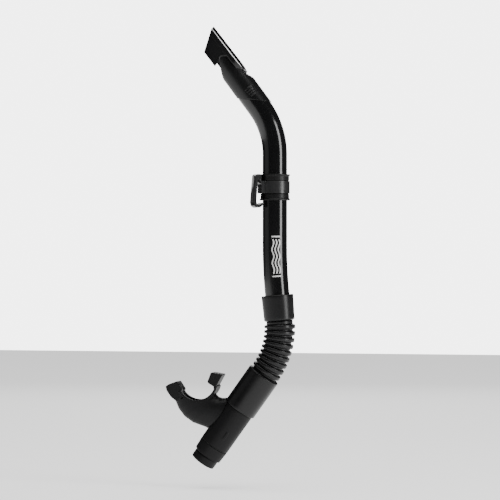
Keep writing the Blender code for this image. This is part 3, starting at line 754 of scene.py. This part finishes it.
def make_hose():
    socket = BARREL_R + GAP
    root = RIB_VALLEY_R + 0.4 * MM      # where a cuff meets the ribs
    cuff = turned("hose_cuff_top", [
        (CUFF_TOP_R, CUFF_TOP), (CUFF_LOW_R, HOSE_TOP - 1.4 * MM), (root, HOSE_TOP - SEAM),
        (HOSE_BORE_R, HOSE_TOP - SEAM), (HOSE_BORE_R, BARREL_BOTTOM + GAP),
        (socket, BARREL_BOTTOM + GAP), (socket, CUFF_TOP),
    ], SKINS["hose"], 0.9 * MM)
    place(cuff, "upper_hose", "silicone_black", "hose_upper_cuff")

    outer = [(root, HOSE_TOP + SEAM)]
    for i in range(RIBS):
        rib = FIRST_RIB + i * RIB_PITCH
        outer += [(RIB_VALLEY_R, rib - 2.3 * MM), (RIB_TIP_R, rib - 1.5 * MM)]
        outer += [(RIB_TIP_R, rib + 1.5 * MM), (RIB_VALLEY_R, rib + 2.3 * MM)]
    outer.append((root, HOSE_BOTTOM - SEAM))
    inner = [(HOSE_BORE_R, HOSE_BOTTOM - SEAM), (HOSE_BORE_R, HOSE_TOP + SEAM)]
    bellows = turned("hose_ribs", outer + inner, SKINS["hose"], 1.0 * MM, 1.2 * MM)
    place_bellows(bellows)

    sock = BODY_SPIGOT_R + GAP
    end = LOWER_CUFF_END - GAP / 2
    cuff = turned("hose_cuff_low", [
        (root, HOSE_BOTTOM + SEAM), (LOWER_CUFF_R, HOSE_BOTTOM + 1.6 * MM),
        (LOWER_CUFF_R, end), (sock, end), (sock, BODY_SPIGOT_TOP - GAP),
        (HOSE_BORE_R, BODY_SPIGOT_TOP - GAP), (HOSE_BORE_R, HOSE_BOTTOM + SEAM),
    ], SKINS["hose"], 0.9 * MM)
    place(cuff, "lower_unit", "silicone_black", "hose_lower_cuff")


def place_bellows(bellows):
    station(HOSE_TOP)[0]
    station(HOSE_BOTTOM)[0]
    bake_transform(bellows)
    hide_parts("hose_bellows")


# ---------------------------------------------------------------- purge body and valve

BODY_R = 15.0 * MM
BODY_BORE_R = 11.4 * MM
BODY_SPIGOT_R = 13.2 * MM
BODY_SPIGOT_TOP = 200 * MM
BODY_BOTTOM = 278.0 * MM
RING_BOTTOM = 290.3 * MM
RING_LOW_R = 14.3 * MM
END_R = 12.7 * MM
END_BOTTOM = 299.0 * MM
SEAT_TOP = 281.0 * MM
SEAT = 2.2 * MM
SEAT_R = 11.4 * MM
FLAP_R = 9.6 * MM
FLAP = 1.2 * MM
FLAP_STEM_R = 1.3 * MM
GRILLE_TOP = 295.2 * MM
GRILLE = 2.0 * MM
GRILLE_SLOTS = 4
GRILLE_PITCH = 3.8 * MM
SEAT_PORTS = 6
SEAT_PORT_AT = 6.2 * MM
SEAT_PORT_R = 2.3 * MM
PORT_AT = 251 * MM
PORT_REACH = 24 * MM
PORT_HALF = (12.5 * MM, 8.4 * MM)
PORT_WALL = 1.8 * MM


def port_rod(name, grow, start, reach):
    """An oval rod out of the purge body's side, towards the mouthpiece."""
    point, side, up = station(PORT_AT)
    rows = []
    for out in (start, reach):
        centre = point - side * out
        half = PORT_HALF[0] + grow
        rows.append(oval(centre + up * half, centre - up * half, PORT_HALF[1] + grow))
    return loft(name, rows)


def hole(name, top, bottom, out, angle, radius):
    """A round cutter through a disc of the valve."""
    shape = bmesh.new()
    depth = bottom - top + 2 * MM
    bmesh.ops.create_cone(shape, cap_ends=True, segments=40, radius1=radius, radius2=radius, depth=depth)
    mesh = bpy.data.meshes.new(name)
    shape.to_mesh(mesh)
    shape.free()
    centre = Matrix.Translation((out * math.cos(angle), out * math.sin(angle), 0))
    mesh.transform(frame_at((top + bottom) / 2) @ centre)
    return new_object(name, mesh, None, True)


def make_purge():
    shoulder = LOWER_CUFF_END + GAP / 2
    low = BODY_BOTTOM - GAP / 2
    body = turned("purge_tube", [
        (BODY_SPIGOT_R, BODY_SPIGOT_TOP), (BODY_SPIGOT_R, shoulder), (BODY_R, shoulder),
        (BODY_R, low), (BODY_BORE_R, low), (BODY_BORE_R, BODY_SPIGOT_TOP),
    ], radius=0.6 * MM)
    boolean(body, port_rod("port_wall", 0, BODY_BORE_R + MM, PORT_REACH), "UNION")
    boolean(body, port_rod("port_bore", -PORT_WALL, 0, PORT_REACH + MM), "DIFFERENCE")
    place(settle(body, SKINS["purge"]), "lower_unit", "purge_black", "purge_body")
    latch = pad(
        "purge_latch", 256.5 * MM, 267 * MM, math.radians(-66), math.radians(11), BODY_R, 0.8 * MM,
        SKINS["purge"],
    )
    place(latch, "lower_unit", "purge_black")

    bore = SEAT_R + GAP
    top = BODY_BOTTOM + GAP / 2
    ring = turned("purge_band", [
        (BODY_R, top), (RING_LOW_R, RING_BOTTOM - GAP / 2), (bore, RING_BOTTOM - GAP / 2), (bore, top),
    ], SKINS["purge"], 0.7 * MM)
    place(ring, "lower_unit", "purge_black", "purge_ring")

    top = RING_BOTTOM + GAP / 2
    collar = turned("purge_skirt", [
        (END_R - 0.4 * MM, top), (END_R, top + 1.5 * MM), (END_R, END_BOTTOM),
        (END_R - 2.0 * MM, END_BOTTOM), (END_R - 2.0 * MM, top),
    ], SKINS["purge"], 0.9 * MM)
    place(collar, "lower_unit", "purge_black", "purge_end_collar")

    seat_bottom = SEAT_TOP + SEAT
    seat = rod("valve_seat_disc", SEAT_R, SEAT_TOP, seat_bottom, False)
    boolean(seat, hole("seat_hole", SEAT_TOP, seat_bottom, 0, 0, FLAP_STEM_R + GAP), "DIFFERENCE")
    for i in range(SEAT_PORTS):
        angle = 2 * math.pi * i / SEAT_PORTS
        port = hole(f"seat_port_{i + 1}", SEAT_TOP, seat_bottom, SEAT_PORT_AT, angle, SEAT_PORT_R)
        boolean(seat, port, "DIFFERENCE")
    place(soften(seat, 0.2 * MM, SKINS["seat"]), "lower_unit", "seat_black", "purge_valve_seat")

    face = seat_bottom + GAP
    flap = turned("valve_flap_disc", [
        (FLAP_R, face), (FLAP_R, face + 0.5 * MM), (FLAP_STEM_R, face + FLAP), (0, face + FLAP),
        (0, SEAT_TOP - 2.4 * MM), (FLAP_STEM_R, SEAT_TOP - 2.4 * MM), (FLAP_STEM_R, face),
    ], SKINS["valve"], 0)
    place(flap, "purge_flap", "valve_silicone", "purge_valve_flap")

    grille = rod("purge_grille_disc", END_R - 2.0 * MM - GAP, GRILLE_TOP, GRILLE_TOP + GRILLE, False)
    for i in range(GRILLE_SLOTS):
        offset = (i - (GRILLE_SLOTS - 1) / 2) * GRILLE_PITCH
        length = math.sqrt((END_R - 4.0 * MM) ** 2 - offset ** 2)
        outline = [(-length, -1.1 * MM), (length, -1.1 * MM), (length, 1.1 * MM), (-length, 1.1 * MM)]
        middle = frame_at(GRILLE_TOP + GRILLE / 2) @ Matrix.Translation((0, offset, 0))
        slot = flat(f"grille_slot_{i + 1}", fillet(outline, 1.0 * MM), GRILLE, middle)
        boolean(grille, slot, "DIFFERENCE")
    place(soften(grille, 0.2 * MM, SKINS["purge"]), "lower_unit", "purge_black", "purge_grille")


# ---------------------------------------------------------------- mouthpiece

NECK = (
    ((-62.4, -201.0), (-101.9, -214.2), 9.8),
    ((-60.6, -206.5), (-98.6, -222.0), 10.2),
    ((-57.4, -209.8), (-92.4, -229.8), 10.6),
    ((-53.4, -210.8), (-83.7, -235.8), 10.8),
    ((-46.4, -210.0), (-70.6, -240.2), 10.8),
    ((-37.5, -214.0), (-61.0, -246.0), 10.8),
)
NECK_WALL = 2.0 * MM
LEFT_LIP = (7.0, 4.0, 2.0, 0, 0, 0)
SHIELD = 2.4 * MM
SHIELD_HALF = 9.0 * MM
SHIELD_FROM = math.radians(-14)
SHIELD_TO = math.radians(-148)
MOUTH_ARC = Vector((-78.4 * MM, 0, -193.2 * MM))
MOUTH_ARC_R = 19.6 * MM
TAB_HALF = 8.3 * MM
RIGHT_TAB = (
    (-63.8, -184.9), (-51.8, -186.9), (-60.6, -202.6), (-61.6, -205.0), (-66.0, -204.0),
    (-62.9, -198.2), (-67.7, -195.1),
)
LEFT_TAB = (
    (-98.7, -194.1), (-93.0, -202.8), (-94.6, -205.2), (-91.0, -208.5), (-99.5, -214.5),
    (-105.2, -210.0), (-109.4, -204.0), (-110.7, -199.5), (-107.5, -197.3),
)
TAB_ROOM = (
    (-94.6, -205.2), (-93.4, -202.4), (-80, -180), (-66.0, -196.2), (-60.9, -199.2), (-60, -215),
    (-100, -216),
)


def xz(point):
    return Vector((point[0] * MM, 0, point[1] * MM))


def neck_rows(inset=0.0, ends=0.0):
    """The neck's rings; an inset makes its hollow, which ends can carry past the first end."""
    rows = []
    for (right, left, depth), lip in zip(NECK, LEFT_LIP):
        right, left = xz(right), xz(left)
        arm = (right - left).normalized()
        lip = lip * MM if inset else 0
        rows.append(oval(right - arm * inset, left + arm * (inset + lip), depth * MM - inset))
    if ends:
        first = sum(rows[0], Vector()) / len(rows[0])
        second = sum(rows[1], Vector()) / len(rows[1])
        way = (first - second).normalized() * ends
        rows.insert(0, [point + way for point in rows[0]])
    return rows


def shield_outline(samples=40):
    """The band that joins the tabs, along the outside of the teeth's arc."""
    sweep = [SHIELD_FROM + (SHIELD_TO - SHIELD_FROM) * i / samples for i in range(samples + 1)]
    inner, outer = MOUTH_ARC_R - MM, MOUTH_ARC_R + SHIELD
    points = [(inner, angle) for angle in sweep] + [(outer, angle) for angle in reversed(sweep)]
    return [(MOUTH_ARC.x + r * math.cos(a), MOUTH_ARC.z + r * math.sin(a)) for r, a in points]


def make_mouthpiece():
    mouth = loft("mouth_moulding", neck_rows(), cutter=False)
    boolean(mouth, upright("shield", shield_outline(), SHIELD_HALF), "UNION")
    for name, outline in (("right_tab", RIGHT_TAB), ("left_tab", LEFT_TAB)):
        rounded = fillet(in_mm(outline), 1.2 * MM)
        boolean(mouth, upright(name, rounded, TAB_HALF, edge=0.6 * MM), "UNION")
    teeth = bmesh.new()
    bmesh.ops.create_cone(
        teeth, cap_ends=True, segments=160, radius1=MOUTH_ARC_R, radius2=MOUTH_ARC_R, depth=0.05
    )
    arc = bpy.data.meshes.new("mouth_arc")
    teeth.to_mesh(arc)
    teeth.free()
    arc.transform(Matrix.Translation(MOUTH_ARC) @ UPRIGHT)
    bite = new_object("mouth_arc", arc, None, True)
    boolean(bite, upright("tab_room", in_mm(TAB_ROOM), THROUGH), "INTERSECT")
    boolean(mouth, bite, "DIFFERENCE")
    body_room = rod("body_room", BODY_R + GAP, LOWER_CUFF_END - 25 * MM, BODY_BOTTOM + 10 * MM)
    boolean(mouth, body_room, "DIFFERENCE")
    cuff_room = rod("cuff_room", LOWER_CUFF_R + GAP, HOSE_BOTTOM - 5 * MM, LOWER_CUFF_END + GAP)
    boolean(mouth, cuff_room, "DIFFERENCE")
    boolean(mouth, loft("neck_hollow", neck_rows(NECK_WALL, 20 * MM)), "DIFFERENCE")
    boolean(mouth, port_rod("port_room", GAP, 0, PORT_REACH + GAP), "DIFFERENCE")
    mouth = melt(mouth, MOULD_GRAIN, 5, SKINS["mouth"])
    place(mouth, "lower_unit", "mouth_silicone", "mouthpiece")


# ---------------------------------------------------------------- stage

FLOOR_DROP = 0.02                   # below the object's lowest point
FLOOR_HALF = 3.0
FLOOR_GLOW = 1.0
BACKGROUND = 5.0                    # the studio's brightness as the camera sees it
REFLECTED = 0.05                    # and as the object reflects it
LIGHTS = (
    # name, azimuth, distance, height, width, tall, power
    ("key", 72, 1.3, 0.05, 0.42, 1.5, 18),
    ("left_sheen", -70, 1.4, 0.0, 1.1, 1.5, 1.5),
    ("overhead", 20, 0.25, 1.5, 1.4, 1.4, 24),
    ("behind", 190, 1.6, 0.5, 1.1, 0.4, 4.5),
)


def area_light(name, azimuth, distance, height, width, tall, power):
    data = bpy.data.lights.new(name, "AREA")
    data.shape = "RECTANGLE"
    data.size, data.size_y = width, tall
    data.energy = power
    light = bpy.data.objects.new(name, data)
    light.visible_camera = False
    turn = math.radians(azimuth)
    out = Vector((math.sin(turn), -math.cos(turn), 0)) * distance
    light.location = VIEW_CENTRE + out + Vector((0, 0, height))
    light.rotation_euler = (VIEW_CENTRE - light.location).to_track_quat("-Z", "Y").to_euler()
    bpy.context.scene.collection.objects.link(light)


def make_stage():
    floor_mesh = bpy.data.meshes.new("floor")
    shape = bmesh.new()
    bmesh.ops.create_grid(shape, x_segments=8, y_segments=8, size=FLOOR_HALF)
    shape.to_mesh(floor_mesh)
    shape.free()
    skin = bpy.data.materials.new("pale_floor")
    skin.use_nodes = True
    shader = skin.node_tree.nodes["Principled BSDF"]
    shader.inputs["Base Color"].default_value = (0.86, 0.86, 0.85, 1)
    shader.inputs["Roughness"].default_value = 0.8
    shader.inputs["Emission Color"].default_value = (1, 1, 1, 1)
    shader.inputs["Emission Strength"].default_value = FLOOR_GLOW
    floor = new_object("floor", floor_mesh, skin)
    floor.location.z = cad_box[0].z - FLOOR_DROP

    world = bpy.data.worlds.new("studio")
    bpy.context.scene.world = world
    world.use_nodes = True
    nodes, links = world.node_tree.nodes, world.node_tree.links
    ground = nodes["Background"]
    ray = nodes.new("ShaderNodeLightPath")
    tone = nodes.new("ShaderNodeMix")
    tone.data_type = "RGBA"
    tone.inputs["A"].default_value = (REFLECTED, REFLECTED, REFLECTED, 1)
    tone.inputs["B"].default_value = (BACKGROUND, BACKGROUND, BACKGROUND, 1)
    links.new(ray.outputs["Is Camera Ray"], tone.inputs["Factor"])
    links.new(tone.outputs["Result"], ground.inputs["Color"])
    for row in LIGHTS:
        area_light(*row)

    lens = bpy.data.cameras.new("camera")
    lens.sensor_width = 36
    lens.lens = lens.sensor_width * CAMERA_DISTANCE / VIEW_SIZE
    camera = bpy.data.objects.new("camera", lens)
    back = Vector((math.sin(CAMERA_AZIMUTH), -math.cos(CAMERA_AZIMUTH), 0))
    camera.location = VIEW_CENTRE + back * CAMERA_DISTANCE
    camera.rotation_euler = (-back).to_track_quat("-Z", "Y").to_euler()
    bpy.context.scene.collection.objects.link(camera)
    bpy.context.scene.camera = camera


# ---------------------------------------------------------------- build

make_barrel()
make_mark()
make_hood()
make_keeper()
make_hose()
make_purge()
make_mouthpiece()
for cutter in list(CUTTERS.objects):
    bpy.data.objects.remove(cutter, do_unlink=True)
bpy.data.collections.remove(CUTTERS)
make_stage()
